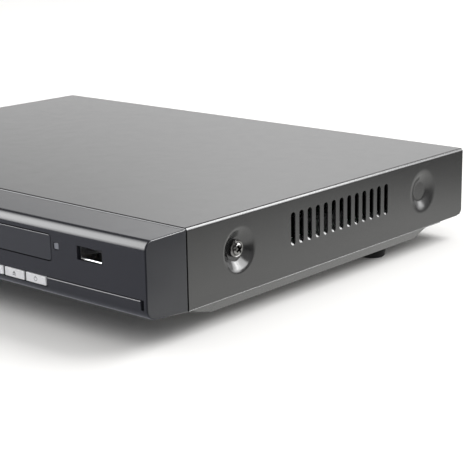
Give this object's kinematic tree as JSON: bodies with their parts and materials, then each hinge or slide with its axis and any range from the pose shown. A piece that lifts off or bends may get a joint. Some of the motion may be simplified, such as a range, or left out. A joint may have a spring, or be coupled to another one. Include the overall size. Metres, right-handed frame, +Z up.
{
  "type": "disc player",
  "caption": "Slim disc player with a pressed steel cover, bowed fascia, motor-driven disc tray with gear train, spindle and pickup sled, push buttons, USB and rear sockets.",
  "frame": {"origin": "below the middle of the whole player, on the surface that the feet stand on", "axes": "+X to the right seen from the front, +Y from the fascia towards the rear panel, +Z up"},
  "size_m": [0.31, 0.246, 0.048],
  "materials": {
    "painted_steel": "fine textured dark grey paint",
    "zinc_steel": "zinc plated sheet",
    "bright_steel": "bright plated",
    "dark_plastic": "satin charcoal moulding",
    "door_plastic": "satin, slightly bluish charcoal",
    "black_plastic": "matte black moulding",
    "black_rubber": "matte black",
    "white_plastic": "satin white",
    "natural_plastic": "satin natural acetal",
    "grey_plastic": "matte grey moulding",
    "board_green": "green lacquered board",
    "board_tan": "tan paper board",
    "screw_black": "black oxide, glossy",
    "clear_plastic": "clear, glossy",
    "lens_glass": "polished, bluish coating",
    "aluminium": "satin"
  },
  "bodies": {
    "casing": {"av_jacks": "black_plastic", "chassis_pan": "painted_steel", "chip_heat_sink": "aluminium", "clamp_bridge": "zinc_steel", "decoder_chip": "black_plastic", "drive_belt": "black_rubber", "fascia": "dark_plastic", "foot_front_left": "black_rubber", "foot_front_right": "black_rubber", "foot_rear_left": "black_rubber", "foot_rear_right": "black_rubber", "hdmi_socket": "bright_steel", "key_board": "board_tan", "light_pipe": "clear_plastic", "loader_frame": "black_plastic", "main_board": "board_green", "mains_capacitor": "black_plastic", "mains_inlet": "black_plastic", "power_board": "board_tan", "power_heat_sink": "aluminium", "rear_panel": "black_plastic", "rear_screw_left": "screw_black", "rear_screw_middle": "screw_black", "rear_screw_right": "screw_black", "ribbon_cable": "white_plastic", "ribbon_plug_keys": "white_plastic", "ribbon_plug_main": "white_plastic", "side_screw_left": "screw_black", "side_screw_right": "screw_black", "standby_led": "clear_plastic", "top_cover": "painted_steel", "transformer": "black_plastic", "tray_motor": "aluminium", "trim_bar_left": "dark_plastic", "trim_bar_right": "dark_plastic", "usb_shell": "bright_steel", "usb_tongue": "black_plastic"},
    "tray": {"disc_tray": "black_plastic", "tray_door": "door_plastic"},
    "drive_gear": {"drive_gear": "natural_plastic"},
    "pulley_gear": {"pulley_gear": "natural_plastic"},
    "motor_pulley": {"motor_pulley": "bright_steel"},
    "cam_slide": {"cam_slide": "white_plastic"},
    "traverse": {"traverse": "black_plastic", "spindle_motor": "aluminium", "guide_rod_left": "bright_steel", "guide_rod_right": "bright_steel", "sled_motor": "aluminium"},
    "spindle": {"turntable": "grey_plastic"},
    "clamper": {"clamper": "white_plastic"},
    "sled": {"pickup": "grey_plastic"},
    "lens": {"lens_holder": "black_plastic", "objective_lens": "lens_glass"},
    "lead_screw": {"lead_screw": "bright_steel"},
    "button_power": {"button_power": "white_plastic"},
    "button_eject": {"button_eject": "white_plastic"},
    "button_stop": {"button_stop": "white_plastic"},
    "button_play": {"button_play": "white_plastic"}
  },
  "joints": [
    {"name": "tray_slide", "type": "slide", "parent": "casing", "child": "tray", "axis": [0, -1, 0], "range_m": [0, 0.134]},
    {"name": "drive_gear_turn", "type": "hinge", "parent": "casing", "child": "drive_gear", "pos_m": [-0.024, -0.07794, 0.0245], "axis": [0, 0, 1], "range_deg": [-0.1, 1096.9]},
    {"name": "pulley_gear_turn", "type": "hinge", "parent": "casing", "child": "pulley_gear", "pos_m": [-0.0015, -0.08272, 0.0245], "axis": [0, 0, 1], "range_deg": [-3107.91, 0.1]},
    {"name": "motor_pulley_turn", "type": "hinge", "parent": "casing", "child": "motor_pulley", "pos_m": [0.032, -0.07604, 0.0273], "axis": [0, 0, 1], "range_deg": [-13148.8, 0.5]},
    {"name": "traverse_tilt", "type": "hinge", "parent": "casing", "child": "traverse", "pos_m": [0.026, 0.05906, 0.02175], "axis": [1, 0, 0], "range_deg": [0, 3.5]},
    {"name": "cam_slide_shift", "type": "slide", "parent": "casing", "child": "cam_slide", "axis": [1, 0, 0], "range_m": [-0.0001, 0.0201]},
    {"name": "spindle_turn", "type": "hinge", "parent": "traverse", "child": "spindle", "pos_m": [0.026, -0.04694, 0.0365], "axis": [0, 0, 1], "continuous": true},
    {"name": "clamper_turn", "type": "hinge", "parent": "casing", "child": "clamper", "pos_m": [0.026, -0.04694, 0.0418], "axis": [0, 0, 1], "continuous": true},
    {"name": "sled_slide", "type": "slide", "parent": "traverse", "child": "sled", "axis": [0, 1, 0], "range_m": [0, 0.034]},
    {"name": "lead_screw_turn", "type": "hinge", "parent": "traverse", "child": "lead_screw", "pos_m": [0.0552, -0.03894, 0.026], "axis": [0, 1, 0], "range_deg": [-0.5, 4081.2]},
    {"name": "lens_focus", "type": "slide", "parent": "sled", "child": "lens", "axis": [0, 0, 1], "range_m": [-0.0004, 0.0004], "stiffness_N_per_m": 60},
    {"name": "button_power_press", "type": "slide", "parent": "casing", "child": "button_power", "axis": [0, 1, 0], "range_m": [0, 0.0005], "stiffness_N_per_m": 2000},
    {"name": "button_eject_press", "type": "slide", "parent": "casing", "child": "button_eject", "axis": [0, 1, 0], "range_m": [0, 0.0005], "stiffness_N_per_m": 2000},
    {"name": "button_stop_press", "type": "slide", "parent": "casing", "child": "button_stop", "axis": [0, 1, 0], "range_m": [0, 0.0005], "stiffness_N_per_m": 2000},
    {"name": "button_play_press", "type": "slide", "parent": "casing", "child": "button_play", "axis": [0, 1, 0], "range_m": [0, 0.0005], "stiffness_N_per_m": 2000}
  ],
  "couplings": [
    {"joint": "drive_gear_turn", "follows": "tray_slide", "rad_per_m": 142.86},
    {"joint": "pulley_gear_turn", "follows": "tray_slide", "rad_per_m": -404.76},
    {"joint": "motor_pulley_turn", "follows": "tray_slide", "rad_per_m": -1712.5},
    {"joint": "cam_slide_shift", "follows": "traverse_tilt", "m_per_rad": 0.3274},
    {"joint": "clamper_turn", "follows": "spindle_turn", "ratio": 1},
    {"joint": "lead_screw_turn", "follows": "sled_slide", "rad_per_m": 2094.4}
  ]
}
